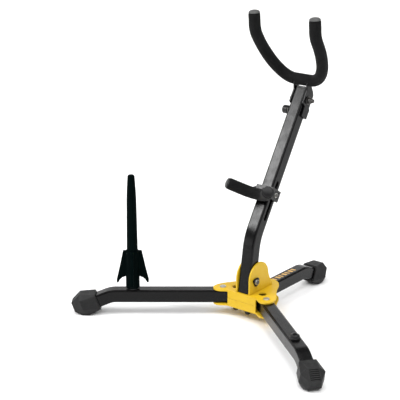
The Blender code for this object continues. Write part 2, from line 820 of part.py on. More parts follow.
def build_yoke():
    inner = TUBE / 2 + 0.4
    sheet = 2.4
    across = lambda b, a, x: upright(x, b, a)
    frame = "yoke_axis"
    outline = flange_outline()
    left = prism(outline, -inner - sheet, -inner, across)
    sheet_b = [(-12.6, -41.4), (-10.4, -41.4), (-10.4, -27.0), (-12.6, -27.0)]
    web = prism(sheet_b, -inner - 1.2, inner + 1.2, across)
    bar_hole = hole(YOKE_BAR_R + GAP, -20, 20, in_yz(upright(0, YOKE_B, YOKE_A)[1:]))
    pivot_hole = hole(3.3, -20, 20, in_yz(YOKE_AXIS))
    detent_hole = hole(4.3, -20, 0, in_yz(YOKE_DETENT))
    part(
        "yoke_bracket", "black_paint", prism(outline, inner, inner + sheet, across), frame,
        join=[left, web], cut=[bar_hole, pivot_hole, detent_hole], bevel=0.4,
    )
    path = both_sides(yoke_path())
    normal = unit((0, math.cos(math.radians(34)), math.sin(math.radians(34))))
    bar_path = trimmed(path, 0.6)
    bar = swept(path_stations(bar_path, normal), circle(YOKE_BAR_R, 8), circle(3.6, 8))
    part("yoke_bar", "black_paint", bar, frame)
    stations = path_stations(path, normal)
    foam = swept(stations, circle(YOKE_FOAM_R, 12), circle(YOKE_BAR_R + 0.6, 12))
    slots = []
    for side in (-1, 1):
        near, far = sorted((side * (inner - GAP), side * (inner + sheet + GAP)))
        slots.append(prism(flange_outline(0.3), near, far, across))
    part("yoke_foam", "foam", foam, frame, cut=slots)
    mirrored = [(-x, y, z) for x, y, z in path[-2:]]
    cap_at(mirrored, "yoke_cap_left", "cap_grey", frame, 8.6, 3.3, 9.0, 3.6)
    cap_at(path[-2:], "yoke_cap_right", "cap_grey", frame, 8.6, 3.3, 9.0, 3.6)

    outside = inner + sheet
    axis = in_yz(YOKE_AXIS)
    bolt = [(0, -outside - 6.6), (2.2, -outside - 6.2), (3.6, -outside - 5.0)]
    bolt += [(4.2, -outside - 3.0), (4.2, -outside - 0.2), (3.0, -outside - 0.2)]
    bolt += [(3.0, outside + 5.0), (0, outside + 5.0)]
    part("yoke_pivot_bolt", "dark_steel", turned(bolt, 16, axis), "upright_axis")
    washer = [(3.2, outside + 0.15), (6.2, outside + 0.15), (6.2, outside + 1.3)]
    washer.append((3.2, outside + 1.3))
    part("yoke_pivot_washer", "dark_steel", turned_ring(washer, 20, axis), "upright_axis")
    nut = [(0, outside + 5.2), (3.1, outside + 5.2), (3.1, outside + 1.5), (4.8, outside + 1.5)]
    nut += [(4.8, outside + 5.4), (3.4, outside + 6.4), (3.3, outside + 8.4)]
    nut += [(2.4, outside + 10.2), (0, outside + 10.8)]
    part("yoke_pivot_nut", "dark_steel", turned(nut, 16, axis), "upright_axis")

    detent = in_yz(YOKE_DETENT)
    bush = [(3.0, -outside - 1.6), (5.6, -outside - 1.6), (5.6, -outside - 0.15)]
    bush += [(4.1, -outside - 0.15), (4.1, -inner - 0.1), (3.0, -inner - 0.1)]
    part("yoke_detent_bush", "dark_steel", turned_ring(bush, 16, detent), frame)
    pin = [(0, -inner), (1.8, -inner), (2.8, -inner - 0.8), (2.8, -outside - 8.0)]
    pin.append((0, -outside - 8.0))
    part("yoke_detent_pin", "steel", turned(pin, 14, detent), "yoke_detent_axis")
    near = -outside - 1.8
    knob = [(0, -outside - 8.2), (3.0, -outside - 8.2), (3.0, near), (6.0, near)]
    knob += [(6.6, near - 0.7), (6.6, near - 8.0), (5.9, near - 8.8), (0, near - 9.0)]
    part("yoke_detent_knob", "black_plastic", turned(knob, 22, detent), "yoke_detent_axis")


# ---------------------------------------------------------------- lower rest

def rest_path():
    """Centre line of the right half of the rest's bent bar, as (x, forward)."""
    radius, arm, reach = 26.0, math.radians(54.0), 36.5
    points = [(0.0, REST_BAR_B)]
    steps = 6
    for step in range(1, steps + 1):
        turn = arm * step / steps
        points.append((radius * math.sin(turn), REST_BAR_B + radius * (1 - math.cos(turn))))
    x, forward = points[-1]
    points.append((reach, forward + (reach - x) * math.tan(arm)))
    return [upright(x, b, REST_BAR_A) for x, b in points]


def build_rest():
    frame = "rest_axis"
    cheek_in, cheek_out = TUBE / 2 + 0.4, TUBE / 2 + 5.0
    low, high = REST_A - 8.5, REST_A + 8.5
    outline = [(-cheek_out, -9.6), (-cheek_in, -9.6), (-cheek_in, cheek_in), (cheek_in, cheek_in)]
    outline += [(cheek_in, -9.6), (cheek_out, -9.6), (cheek_out, 14.4), (-cheek_out, 14.4)]
    stem_low, stem_high = (-3.6, 13.0, REST_BAR_A - 3.6), (3.6, 21.4, REST_BAR_A + 3.6)
    stem = box(stem_low, stem_high, upright)
    path = both_sides(rest_path())
    normal = unit([b - a for a, b in zip(upright(0, 0, 0), upright(0, 0, 1))])
    channel = swept(path_stations(path, normal), circle(REST_BAR_R + GAP, 12))
    bolt_hole = hole(3.3, -20, 20, in_yz(REST_AXIS))
    pocket_low = (cheek_out - 2.8, -5.2, REST_A - 4.9)
    nut_pocket = box(pocket_low, (cheek_out + 4, 5.2, REST_A + 4.9), upright)
    part(
        "rest_clamp", "black_plastic", prism(outline, low, high, upright), frame, join=[stem],
        cut=[channel, bolt_hole, nut_pocket],
    )
    stations = path_stations(trimmed(path, 0.6), normal)
    bar = swept(stations, circle(REST_BAR_R, 8), circle(2.5, 8))
    part("rest_bar", "black_paint", bar, frame)
    around = circle(REST_FOAM_R, 14), circle(REST_BAR_R + 0.4, 14)
    stem_hole = box((-4.0, 12.0, REST_BAR_A - 4.0), (4.0, 22.0, REST_BAR_A + 4.0), upright)
    foam = swept(path_stations(path, normal), *around)
    part("rest_foam", "foam", foam, frame, cut=[stem_hole])
    for side, stretch in (("left", path[1::-1]), ("right", path[-2:])):
        cap_at(stretch, f"rest_cap_{side}", "black_plastic", frame, 7.8, 2.2, 8.0, 1.4)

    axis = in_yz(REST_AXIS)
    tip = cheek_out - 2.8
    bolt = [(0, -cheek_out - 9.0), (3.0, -cheek_out - 9.0), (3.0, tip + 3.6), (0, tip + 3.6)]
    part("rest_clamp_bolt", "dark_steel", turned(bolt, 16, axis), frame)
    hexagon = prism(circle(4.4, 6), tip + 0.2, tip + 3.2, axis)
    part("rest_clamp_nut", "steel", hexagon, frame, cut=[hole(3.1, 0, 30, axis)], bevel=0.3)
    knob = prism(knob_outline(8.0, 1.2, 6), -cheek_out - 11.0, -cheek_out - 0.2, axis)
    socket = hole(3.2, -cheek_out - 9.4, -cheek_out + 2, axis, 16)
    part("rest_clamp_knob", "black_plastic", knob, frame, cut=[socket], bevel=0.8)


def knob_outline(radius, depth, lobes):
    outline = []
    for step in range(lobes * 6):
        turn = 2 * math.pi * step / (lobes * 6)
        reach = radius - depth * (1 - math.cos(lobes * turn)) / 2
        outline.append((reach * math.cos(turn), reach * math.sin(turn)))
    return outline


# ---------------------------------------------------------------- clarinet peg and plug

def build_peg():
    frame = "peg_axis"
    x, y, _ = PEG_AT
    floor = TUBE / 2 + 2.2
    at = standing(x, y)
    stud = [(0, 3.6), (3.8, 3.6), (3.8, floor + 14.0), (0, floor + 14.0)]
    part("peg_stud", "steel", turned(stud, 16, at), frame)
    core = [(0, floor + 14.2), (4.0, floor + 14.2), (4.0, floor), (10.0, floor), (10.5, floor + 0.6)]
    core += [(10.5, 66.0), (9.6, 70.0), (9.6, 71.6), (5.0, 71.6), (5.0, 60.0), (0, 60.0)]
    fins = [prism(fin_outline(), -2.2, 2.2, fin_place(x, y, turn)) for turn in range(4)]
    part("peg_base", "peg_plastic", turned(core, 24, at), frame, join=fins)
    cone = [(0, 60.3), (4.7, 60.3), (4.7, 71.8), (8.3, 71.8), (8.3, 74.0), (7.3, 152.0)]
    cone += [(6.7, 166.0), (5.9, 180.0), (5.3, 188.0), (4.5, 189.8), (3.0, 190.4), (0, 190.4)]
    part("peg_cone", "peg_plastic", turned(cone, 24, at), frame)


def fin_outline():
    """One fin of the peg's base, as (out from the axis, up)."""
    outline = [(8.0, 71.2), (13.6, 71.2), (14.3, 70.2), (19.6, 45.0), (24.4, 24.5), (24.3, 21.0)]
    outline += [(23.2, 19.8), (21.6, 20.8), (19.0, 25.5), (15.5, 28.6), (10.0, 30.4), (8.0, 30.6)]
    return outline


def fin_place(x, y, index):
    turn = FIN_TURN + math.pi / 2 * index
    cos, sin = math.cos(turn), math.sin(turn)

    def mapped(out, up, across):
        return (x + out * cos - across * sin, y + out * sin + across * cos, up)

    return mapped


def build_plug():
    """Screw that closes the second peg socket."""
    x, y, _ = PLUG_AT
    top = TUBE / 2 + 2.2
    plug = [(0, 4.0), (3.8, 4.0), (3.8, top), (7.0, top), (7.2, top + 0.6), (7.0, top + 2.2)]
    plug += [(6.0, top + 3.2), (3.4, top + 3.7), (3.0, top + 1.6), (0, top + 1.6)]
    part("socket_plug", "black_plastic", turned(plug, 24, standing(x, y)), "plug_axis")


build_hub()
build_bracket()
build_legs()
build_detents()
build_upright()
build_yoke()
build_rest()
build_peg()
build_plug()
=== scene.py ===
"""Looks for the saxophone stand: foam sleeves, paint, rubber, floor, light and camera."""

import json
import math

import bmesh
import bpy
import numpy as np
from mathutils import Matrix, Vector, noise


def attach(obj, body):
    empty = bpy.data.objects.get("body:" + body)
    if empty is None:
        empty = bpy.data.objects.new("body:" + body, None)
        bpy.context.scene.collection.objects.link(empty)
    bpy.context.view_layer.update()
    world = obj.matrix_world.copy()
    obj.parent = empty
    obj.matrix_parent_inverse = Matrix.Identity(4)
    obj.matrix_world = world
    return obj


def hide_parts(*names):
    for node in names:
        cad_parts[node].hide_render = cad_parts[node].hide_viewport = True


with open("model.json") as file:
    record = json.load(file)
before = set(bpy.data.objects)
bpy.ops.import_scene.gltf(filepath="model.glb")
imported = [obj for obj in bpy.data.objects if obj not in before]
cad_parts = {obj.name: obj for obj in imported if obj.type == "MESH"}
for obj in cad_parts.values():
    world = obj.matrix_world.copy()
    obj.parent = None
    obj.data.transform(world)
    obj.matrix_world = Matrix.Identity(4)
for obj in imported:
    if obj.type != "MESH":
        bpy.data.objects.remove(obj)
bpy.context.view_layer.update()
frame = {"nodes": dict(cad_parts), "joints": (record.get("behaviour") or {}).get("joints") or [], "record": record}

MM = 0.001
SCENE = bpy.context.scene
NODES = frame["nodes"]
JOINTS = {joint["name"]: joint for joint in frame["joints"]}

# The hub frame stands midway between the two leg pivots, at the height of the legs' centre line.
HUB = Vector(JOINTS["leg_left_swing"]["pos_m"])
HUB.x = 0.0

# ---------------------------------------------------------------- camera and studio

CAMERA_AZIMUTH = math.radians(38.18)
CAMERA_ELEVATION = math.radians(18.08)
CAMERA_FROM_HUB = Vector((1.028559, -1.415969, 0.730232))
CAMERA_LENS = 112.94
FLOOR_REACH, FLOOR_RISE, FLOOR_SWEEP, FLOOR_HALF = 6.0, 5.0, 2.5, 8.0
SWEEP_STEPS = 8
LIGHTS_AIM = Vector((0.0, 0.0, 0.2))
WORLD_STRENGTH = 0.27
OVERHEAD_ENERGY, OVERHEAD_SPREAD = 3.1, math.radians(75)
OVERHEAD_TURN = (math.radians(14), math.radians(12), 0.0)
# name: direction as (azimuth, elevation) in degrees, distance, (width, height), watts
PANELS = {
    "key_panel": ((-43.0, 36.0), 2.6, (0.64, 0.58), 31.0),
    "fill_panel": ((78.0, 34.0), 2.8, (1.5, 1.8), 12.0),
    "low_panel": ((-39.0, 5.0), 2.3, (0.42, 0.50), 3.0),
}


def mesh_object(name, work):
    """Turns a bmesh into an object of the scene."""
    mesh = bpy.data.meshes.new(name)
    work.to_mesh(mesh)
    work.free()
    obj = bpy.data.objects.new(name, mesh)
    SCENE.collection.objects.link(obj)
    return obj


def make_camera():
    data = bpy.data.cameras.new("camera")
    data.lens = CAMERA_LENS
    data.sensor_width = 36.0
    data.clip_end = 50.0
    camera = bpy.data.objects.new("camera", data)
    camera.location = HUB + CAMERA_FROM_HUB
    camera.rotation_euler = (math.pi / 2 - CAMERA_ELEVATION, 0.0, CAMERA_AZIMUTH)
    SCENE.collection.objects.link(camera)
    SCENE.camera = camera


def make_floor():
    """A pale sheet that lies flat and sweeps up a long way behind the object."""
    bend = FLOOR_REACH - FLOOR_SWEEP
    points = [(-FLOOR_REACH, 0.0), (bend, 0.0)]
    for step in range(1, SWEEP_STEPS + 1):
        turn = math.pi / 2 * step / SWEEP_STEPS
        points.append((bend + FLOOR_SWEEP * math.sin(turn), FLOOR_SWEEP * (1 - math.cos(turn))))
    points.append((FLOOR_REACH, FLOOR_RISE))
    work = bmesh.new()
    rows = [[work.verts.new((x, y, z)) for x in (-FLOOR_HALF, FLOOR_HALF)] for y, z in points]
    for first, second in zip(rows, rows[1:]):
        work.faces.new((first[0], first[1], second[1], second[0]))
    floor = mesh_object("floor", work)
    floor.data.shade_smooth()
    floor.rotation_euler.z = CAMERA_AZIMUTH
    paint = bpy.data.materials.new("floor_paint")
    paint.use_nodes = True
    shader = paint.node_tree.nodes["Principled BSDF"]
    shader.inputs["Base Color"].default_value = (0.97, 0.97, 0.97, 1.0)
    shader.inputs["Roughness"].default_value = 0.9
    shader.inputs["Specular IOR Level"].default_value = 0.1
    floor.data.materials.append(paint)


def area_light(name, direction, distance, size, power):
    """Soft panel that looks at the middle of the object from a direction (azimuth, elevation)."""
    azimuth, elevation = (math.radians(value) for value in direction)
    data = bpy.data.lights.new(name, "AREA")
    data.shape = "RECTANGLE"
    data.size, data.size_y = size
    data.energy = power
    light = bpy.data.objects.new(name, data)
    away = Vector((
        math.sin(azimuth) * math.cos(elevation),
        -math.cos(azimuth) * math.cos(elevation),
        math.sin(elevation),
    ))
    light.location = LIGHTS_AIM + away * distance
    light.rotation_euler = (-away).to_track_quat("-Z", "Y").to_euler()
    SCENE.collection.objects.link(light)


def make_studio():
    """White surroundings, three soft panels and a broad light from above."""
    world = bpy.data.worlds.new("studio")
    world.use_nodes = True
    background = world.node_tree.nodes["Background"]
    background.inputs["Color"].default_value = (1.0, 1.0, 1.0, 1.0)
    background.inputs["Strength"].default_value = WORLD_STRENGTH
    SCENE.world = world
    for name, (direction, distance, size, power) in PANELS.items():
        area_light(name, direction, distance, size, power)
    soft_overhead = bpy.data.lights.new("soft_overhead", "SUN")
    soft_overhead.energy = OVERHEAD_ENERGY
    soft_overhead.angle = OVERHEAD_SPREAD
    overhead = bpy.data.objects.new("soft_overhead", soft_overhead)
    overhead.rotation_euler = OVERHEAD_TURN
    SCENE.collection.objects.link(overhead)
    SCENE.view_settings.view_transform = "Standard"
    SCENE.view_settings.look = "None"


make_camera()
make_floor()
make_studio()


# ---------------------------------------------------------------- materials

NOISE_ROUGHNESS = 0.55


class Look:
    """One node material, built up from small procedural layers."""

    def __init__(self, name, colour, roughness, metallic=0.0, **sockets):
        self.material = bpy.data.materials.new(name)
        self.material.use_nodes = True
        self.tree = self.material.node_tree
        self.shader = self.tree.nodes["Principled BSDF"]
        self.colour = self.rgb(colour)
        self.roughness = self.number(roughness)
        self.shader.inputs["Metallic"].default_value = metallic
        for socket, value in sockets.items():
            self.shader.inputs[socket.replace("_", " ")].default_value = value
        self.coords = self.add("ShaderNodeTexCoord").outputs["Object"]
        self.normal = None

    def add(self, kind, **settings):
        node = self.tree.nodes.new(kind)
        for key, value in settings.items():
            setattr(node, key, value)
        return node

    def join(self, source, target):
        self.tree.links.new(source, target)

    def rgb(self, colour):
        node = self.add("ShaderNodeRGB")
        node.outputs[0].default_value = (*colour, 1.0)
        return node.outputs[0]

    def number(self, value):
        node = self.add("ShaderNodeValue")
        node.outputs[0].default_value = value
        return node.outputs[0]

    def noise(self, per_metre, detail, stretch=(1.0, 1.0, 1.0), low=0.0, high=1.0):
        """Noise of a given fineness, its middle band spread over 0 to 1."""
        mapping = self.add("ShaderNodeMapping")
        mapping.inputs["Scale"].default_value = stretch
        self.join(self.coords, mapping.inputs["Vector"])
        node = self.add("ShaderNodeTexNoise")
        node.inputs["Scale"].default_value = per_metre
        node.inputs["Detail"].default_value = detail
        node.inputs["Roughness"].default_value = NOISE_ROUGHNESS
        self.join(mapping.outputs[0], node.inputs["Vector"])
        return self.spread(node.outputs[0], low, high)

    def cells(self, per_metre, low=0.0, high=1.0):
        """Distance from the middles of small cells, over the same kind of band as the noise."""
        node = self.add("ShaderNodeTexVoronoi", feature="F1")
        node.inputs["Scale"].default_value = per_metre
        self.join(self.coords, node.inputs["Vector"])
        return self.spread(node.outputs["Distance"], low, high)

    def spread(self, source, low, high, to_low=0.0, to_high=1.0):
        """Maps the band from low to high onto another band and clamps it there."""
        node = self.add("ShaderNodeMapRange", clamp=True)
        names = ("From Min", "From Max", "To Min", "To Max")
        for name, value in zip(names, (low, high, to_low, to_high)):
            node.inputs[name].default_value = value
        self.join(source, node.inputs["Value"])
        return node.outputs[0]

    def tint(self, mask, colour, most=1.0):
        """Mixes a second colour in where the mask is high."""
        mix = self.add("ShaderNodeMix", data_type="RGBA")
        self.join(self.spread(mask, 0.0, 1.0, 0.0, most), mix.inputs["Factor"])
        self.join(self.colour, mix.inputs["A"])
        mix.inputs["B"].default_value = (*colour, 1.0)
        self.colour = mix.outputs["Result"]

    def rougher(self, mask, amount):
        """Adds to the roughness where the mask is high; a negative amount polishes."""
        node = self.add("ShaderNodeMath", operation="MULTIPLY_ADD", use_clamp=True)
        self.join(mask, node.inputs[0])
        node.inputs[1].default_value = amount
        self.join(self.roughness, node.inputs[2])
        self.roughness = node.outputs[0]

    def bump(self, height, depth_mm, strength):
        """Adds relief on top of the relief so far."""
        node = self.add("ShaderNodeBump")
        node.inputs["Strength"].default_value = strength
        node.inputs["Distance"].default_value = depth_mm * MM
        self.join(height, node.inputs["Height"])
        if self.normal is not None:
            self.join(self.normal, node.inputs["Normal"])
        self.normal = node.outputs[0]

    def rounded(self, radius_mm, samples):
        """The surface's normal, rounded over its hard edges."""
        bevel = self.add("ShaderNodeBevel", samples=samples)
        bevel.inputs["Radius"].default_value = radius_mm * MM
        return bevel.outputs[0]

    def soften(self, radius_mm):
        """Rounds the shading of hard edges, as paint and mould corners do."""
        self.normal = self.rounded(radius_mm, 6)

    def edges(self, radius_mm):
        """Mask that is high along hard edges, for a painted highlight and some wear there."""
        geometry = self.add("ShaderNodeNewGeometry")
        dot = self.add("ShaderNodeVectorMath", operation="DOT_PRODUCT")
        self.join(self.rounded(radius_mm, 4), dot.inputs[0])
        self.join(geometry.outputs["Normal"], dot.inputs[1])
        return self.spread(dot.outputs["Value"], 0.97, 0.80)

    def groove_shade(self, reach_mm):
        """Mask that is high down in grooves and corners, where shade is painted."""
        shade = self.add("ShaderNodeAmbientOcclusion", samples=8)
        shade.inputs["Distance"].default_value = reach_mm * MM
        return self.spread(shade.outputs["AO"], 0.95, 0.45)

    def done(self):
        """Joins the layers to the shader and returns the material."""
        self.join(self.colour, self.shader.inputs["Base Color"])
        self.join(self.roughness, self.shader.inputs["Roughness"])
        if self.normal is not None:
            self.join(self.normal, self.shader.inputs["Normal"])
        return self.material


def yellow_paint():
    look = Look("look_yellow_powder_coat", (0.62, 0.395, 0.009), 0.44, Specular_IOR_Level=0.30,
                Coat_Weight=0.05, Coat_Roughness=0.25)
    look.soften(0.6)
    look.tint(look.noise(38, 4, low=0.35, high=0.7), (0.67, 0.44, 0.017), 0.55)
    look.tint(look.noise(260, 3, low=0.5, high=0.75), (0.57, 0.32, 0.009), 0.35)
    # Lighter edges: a painted highlight along them, with some wear.
    look.tint(look.edges(0.7), (0.76, 0.49, 0.05), 0.5)
    look.rougher(look.noise(120, 4, low=0.3, high=0.75), 0.16)
    look.bump(look.noise(900, 2), 0.05, 0.35)
    look.bump(look.noise(3600, 2), 0.02, 0.3)
    return look.done()


def black_paint():
    look = Look("look_black_powder_coat", (0.0008, 0.0008, 0.0010), 0.20, Specular_IOR_Level=0.19)
    look.soften(0.9)
    look.tint(look.noise(30, 4, low=0.4, high=0.75), (0.0018, 0.0018, 0.0020), 0.8)
    look.tint(look.noise(420, 3, low=0.58, high=0.8), (0.005, 0.005, 0.0055), 0.4)
    # Lighter edges: a painted highlight along them, with some wear.
    look.tint(look.edges(0.6), (0.030, 0.030, 0.032), 0.45)
    look.rougher(look.noise(90, 5, low=0.35, high=0.75), 0.09)
    look.rougher(look.noise(700, 2, low=0.55, high=0.8), 0.08)
    look.bump(look.noise(1100, 2), 0.035, 0.3)
    look.bump(look.noise(4200, 2), 0.012, 0.25)
    return look.done()


def rubber():
    look = Look("look_moulded_rubber", (0.0060, 0.0060, 0.0063), 0.46, Specular_IOR_Level=0.26)
    look.soften(0.2)
    look.tint(look.noise(60, 4, low=0.35, high=0.72), (0.0105, 0.0105, 0.0108), 0.9)
    look.tint(look.noise(700, 3, low=0.55, high=0.8), (0.036, 0.036, 0.036), 0.4)
    # Lighter ridges: a painted highlight along them, with some wear.
    look.tint(look.edges(0.8), (0.055, 0.055, 0.054), 0.8)
    # Painted shade down in the grooves and corners.
    look.tint(look.groove_shade(2.2), (0.001, 0.001, 0.001), 0.95)
    look.rougher(look.noise(150, 4, low=0.3, high=0.75), 0.2)
    look.bump(look.noise(1500, 3), 0.12, 0.5)
    look.bump(look.cells(2600), 0.06, 0.35)
    return look.done()


def foam():
    look = Look("look_closed_cell_foam", (0.0028, 0.0028, 0.0030), 0.8, Specular_IOR_Level=0.15,
                Sheen_Weight=0.03, Sheen_Roughness=0.4)
    look.tint(look.noise(70, 4, low=0.35, high=0.75), (0.0060, 0.0060, 0.0063), 0.9)
    look.tint(look.cells(1500, low=0.55, high=0.1), (0.014, 0.014, 0.0145), 0.35)
    look.rougher(look.noise(200, 3, low=0.3, high=0.8), 0.14)
    look.bump(look.noise(240, 3), 0.5, 0.35)
    look.bump(look.cells(1500), 0.28, 0.55)
    look.bump(look.noise(3800, 2), 0.08, 0.5)
    return look.done()


def grey_plastic():
    look = Look("look_grey_moulding", (0.062, 0.062, 0.062), 0.42)
    look.soften(0.5)
    look.tint(look.noise(180, 4, low=0.35, high=0.75), (0.088, 0.088, 0.087), 0.7)
    look.tint(look.noise(1200, 3, low=0.55, high=0.8), (0.055, 0.055, 0.055), 0.4)
    look.rougher(look.noise(400, 3, low=0.3, high=0.8), 0.18)
    look.bump(look.noise(2600, 3), 0.05, 0.5)
    return look.done()


def black_plastic():
    look = Look("look_black_moulding", (0.0032, 0.0032, 0.0035), 0.27, Specular_IOR_Level=0.34)
    look.soften(0.4)
    look.tint(look.noise(120, 4, low=0.4, high=0.75), (0.006, 0.006, 0.0064), 0.8)
    # Lighter edges: a painted highlight along them, with some wear.
    look.tint(look.edges(0.5), (0.035, 0.035, 0.036), 0.35)
    look.rougher(look.noise(350, 4, low=0.35, high=0.8), 0.2)
    look.bump(look.noise(2400, 3), 0.04, 0.5)
    return look.done()


def peg_plastic():
    look = Look("look_peg_moulding", (0.0001, 0.0018, 0.0018), 0.5, Specular_IOR_Level=0.02)
    look.soften(0.5)
    look.tint(look.noise(50, 4, low=0.35, high=0.75), (0.0007, 0.0034, 0.0034), 0.8)
    # Lighter edges: a painted highlight along them, with some wear.
    look.tint(look.edges(0.6), (0.006, 0.012, 0.012), 0.5)
    look.rougher(look.noise(240, 4, low=0.3, high=0.75), 0.2)
    look.bump(look.noise(900, 3, stretch=(1.0, 1.0, 0.15)), 0.05, 0.4)
    look.bump(look.noise(2800, 2), 0.04, 0.4)
    return look.done()


def zinc_steel():
    look = Look("look_zinc_plated_steel", (0.62, 0.62, 0.60), 0.26, 1.0, Anisotropic=0.3)
    look.soften(0.3)
    look.tint(look.noise(300, 4, low=0.35, high=0.75), (0.45, 0.45, 0.43), 0.6)
    look.tint(look.noise(90, 3, low=0.5, high=0.8), (0.66, 0.62, 0.50), 0.35)
    look.rougher(look.noise(600, 4, low=0.3, high=0.8), 0.22)
    look.bump(look.noise(1400, 3, stretch=(1.0, 1.0, 6.0)), 0.03, 0.5)
    return look.done()


def black_steel():
    look = Look("look_blackened_steel", (0.070, 0.069, 0.067), 0.34, 1.0)
    look.soften(0.3)
    look.tint(look.noise(260, 4, low=0.4, high=0.75), (0.15, 0.14, 0.13), 0.6)
    # Bright edges: wear through the blackening, with a painted highlight along them.
    look.tint(look.edges(0.4), (0.38, 0.37, 0.35), 0.5)
    look.rougher(look.noise(500, 4, low=0.3, high=0.8), 0.2)
    look.bump(look.noise(1600, 3), 0.03, 0.5)
    return look.done()


def tan_print():
    look = Look("look_tan_print", (0.66, 0.40, 0.12), 0.45)
    look.tint(look.noise(500, 3, low=0.4, high=0.8), (0.34, 0.19, 0.05), 0.6)
    look.rougher(look.noise(900, 3, low=0.3, high=0.8), 0.2)
    look.bump(look.noise(2600, 3), 0.02, 0.5)
    return look.done()


LOOKS = {
    "print": tan_print(),
    "yellow": yellow_paint(),
    "black_paint": black_paint(),
    "rubber": rubber(),
    "foam": foam(),
    "cap_grey": grey_plastic(),
    "black_plastic": black_plastic(),
    "peg_plastic": peg_plastic(),
    "steel": zinc_steel(),
    "dark_steel": black_steel(),
}
SLOT_OF = {row["node"]: row["material_slot"] for row in frame["record"]["subparts"]}


def dress(obj, slot):
    """Gives every face of a piece the look of its material slot."""
    obj.data.materials.clear()
    obj.data.materials.append(LOOKS[slot])
    obj.data.polygons.foreach_set("material_index", [0] * len(obj.data.polygons))


# Faces that meet at a flatter angle than this are shaded as one surface.
FOLDED_ANGLE, TURNED_ANGLE = math.radians(18), math.radians(38)
FOLDED = ("_foot", "_tube", "_bracket", "_plate", "_clamp")
WELD_DISTANCE = 0.005 * MM


def smooth_between_edges(obj, angle):
    """Shades a CAD node's facets as one round surface, up to its real edges."""
    normals = obj.data.attributes.get("custom_normal")
    if normals is not None:
        obj.data.attributes.remove(normals)
    obj.data.shade_smooth()
    weld = obj.modifiers.new("weld", "WELD")
    weld.merge_threshold = WELD_DISTANCE
    split = obj.modifiers.new("edges", "EDGE_SPLIT")
    split.use_edge_sharp = False
    split.split_angle = angle
    weighted = obj.modifiers.new("flat_faces", "WEIGHTED_NORMAL")
    weighted.mode = "FACE_AREA"
    weighted.weight = 100


for node_name, node in NODES.items():
    dress(node, SLOT_OF[node_name])
    smooth_between_edges(node, FOLDED_ANGLE if node_name.endswith(FOLDED) else TURNED_ANGLE)


# ---------------------------------------------------------------- foam sleeves

FOAM_SEGMENTS = 40
FOAM_SPACING = 1.6 * MM
PATH_STEP = 0.5 * MM
# The foam stands this far inside its nominal surface, so that its swellings hardly pass it.
FOAM_SETBACK = 0.18 * MM
# Each swelling: how fine it is, per metre, and how high.
FOAM_SWELLINGS = ((55.0, 0.20 * MM), (190.0, 0.09 * MM))
SHOULDER_DEPTH, SHOULDER_LENGTH = 1.2 * MM, 2.2 * MM
FOAM_SHARP_ANGLE = math.radians(50)


def resampled(path):
    """The same path, rounded through its corners, as evenly spaced points and the length up to each."""
    points = [Vector(point) for point in path]
    dense = []
    for index in range(len(points) - 1):
        p0 = points[max(index - 1, 0)]
        p1, p2 = points[index], points[index + 1]
        p3 = points[min(index + 2, len(points) - 1)]
        count = max(2, int((p2 - p1).length / PATH_STEP))
        for step in range(count):
            t = step / count
            dense.append(0.5 * (
                2 * p1 + (p2 - p0) * t + (2 * p0 - 5 * p1 + 4 * p2 - p3) * t * t
                + (3 * p1 - p0 - 3 * p2 + p3) * t ** 3
            ))
    dense.append(points[-1])
    lengths = [0.0]
    for first, second in zip(dense, dense[1:]):
        lengths.append(lengths[-1] + (second - first).length)
    count = max(2, round(lengths[-1] / FOAM_SPACING))
    wanted = np.linspace(0.0, lengths[-1], count + 1)
    columns = [np.interp(wanted, lengths, [point[axis] for point in dense]) for axis in range(3)]
    return [Vector(values) for values in zip(*columns)], list(wanted)


def sleeve_rings(path, normal, outer, bore, pinch, seed):
    """Outside and inside rings of a foam tube, from one end of its path to the other."""
    points, along = resampled(path)
    total = along[-1]
    skins = ([], [])
    for index, point in enumerate(points):
        before, after = points[max(index - 1, 0)], points[min(index + 1, len(points) - 1)]
        forward = (after - before).normalized()
        side = Vector(normal).cross(forward).normalized()
        lift = forward.cross(side)
        from_end = min(along[index], total - along[index])
        shoulder = SHOULDER_DEPTH * max(0.0, 1.0 - from_end / SHOULDER_LENGTH) ** 2
        rings = ([], [])
        for segment in range(FOAM_SEGMENTS):
            turn = 2 * math.pi * segment / FOAM_SEGMENTS
            facing = side * math.cos(turn) + lift * math.sin(turn)
            place = point + facing * outer
            reach = outer - FOAM_SETBACK - shoulder
            for axis, (per_metre, height) in enumerate(FOAM_SWELLINGS):
                offset = Vector()
                offset[axis] = seed
                reach += noise.noise(place * per_metre + offset) * height
            reach, hollow = pinch(point, facing, reach, bore)
            rings[0].append(point + facing * reach)
            rings[1].append(point + facing * hollow)
        skins[0].append(rings[0])
        skins[1].append(rings[1])
    return skins


def join_rings(work, first, second):
    """Band of faces between two rings of vertices."""
    for segment in range(len(first)):
        after = (segment + 1) % len(first)
        work.faces.new((first[segment], first[after], second[after], second[segment]))


def sleeve(name, body, replaced, path, normal, outer, bore, pinch, seed):
    """Foam tube along a path. pinch changes its outside and bore where something cuts into it."""
    work = bmesh.new()
    outside, inside = (
        [[work.verts.new(place) for place in ring] for ring in skin]
        for skin in sleeve_rings(path, normal, outer, bore, pinch, seed)
    )
    for skin in (outside, inside):
        for first, second in zip(skin, skin[1:]):
            join_rings(work, first, second)
    for end in (0, -1):
        join_rings(work, outside[end], inside[end])
    bmesh.ops.recalc_face_normals(work, faces=work.faces)
    obj = mesh_object(name, work)
    obj.data.shade_smooth()
    obj.data.set_sharp_from_angle(angle=FOAM_SHARP_ANGLE)
    dress(obj, "foam")
    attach(obj, body)
    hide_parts(replaced)


